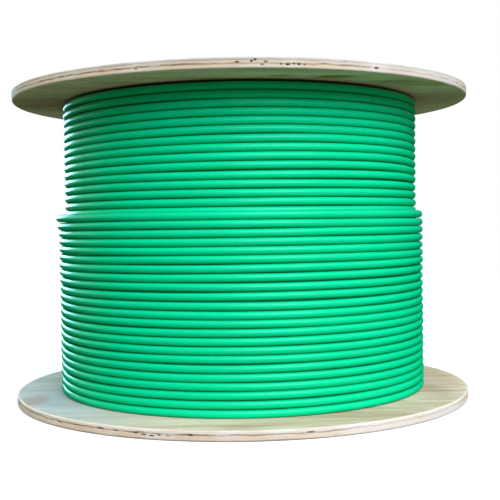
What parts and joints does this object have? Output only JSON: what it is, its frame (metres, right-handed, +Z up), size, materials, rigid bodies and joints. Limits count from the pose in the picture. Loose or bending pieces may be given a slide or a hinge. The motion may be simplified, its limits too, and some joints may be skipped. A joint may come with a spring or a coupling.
{
  "type": "wire spool",
  "caption": "Plywood cable reel with two round flanges on a fibre core, wound with many layers of round green data cable.",
  "frame": {"origin": "centre of the lower flange's outer face, on the reel's axis", "axes": "+Z up the reel's axis from the lower flange to the upper; the front is -Y and the cable's outer end is at the back, +Y"},
  "size_m": [0.4569, 0.457, 0.312],
  "materials": {
    "plywood": "satin",
    "fibre_tube": "matte",
    "green_jacket": "satin",
    "zinc_steel": "satin",
    "separator": "satin",
    "insulation_blue": "satin",
    "insulation_orange": "satin",
    "insulation_green": "satin",
    "insulation_brown": "satin",
    "paper_tape": "matte"
  },
  "bodies": {
    "root": {"lower_flange": "plywood", "upper_flange": "plywood", "core_tube": "fibre_tube", "tie_bolt_1": "zinc_steel", "tie_bolt_2": "zinc_steel", "tie_bolt_3": "zinc_steel", "tie_bolt_4": "zinc_steel", "bolt_washers": "zinc_steel", "tee_nuts": "zinc_steel", "cable_layer_1": "green_jacket", "cable_layer_2": "green_jacket", "cable_layer_3": "green_jacket", "cable_layer_4": "green_jacket", "cable_layer_5": "green_jacket", "cable_layer_6": "green_jacket", "cable_layer_7": "green_jacket", "cable_layer_8": "green_jacket", "cable_layer_9": "green_jacket", "cable_start": "green_jacket", "cable_end_jacket": "green_jacket", "pair_separator": "separator", "pair_blue": "insulation_blue", "pair_orange": "insulation_orange", "pair_green": "insulation_green", "pair_brown": "insulation_brown", "end_tape": "paper_tape"}
  },
  "joints": []
}
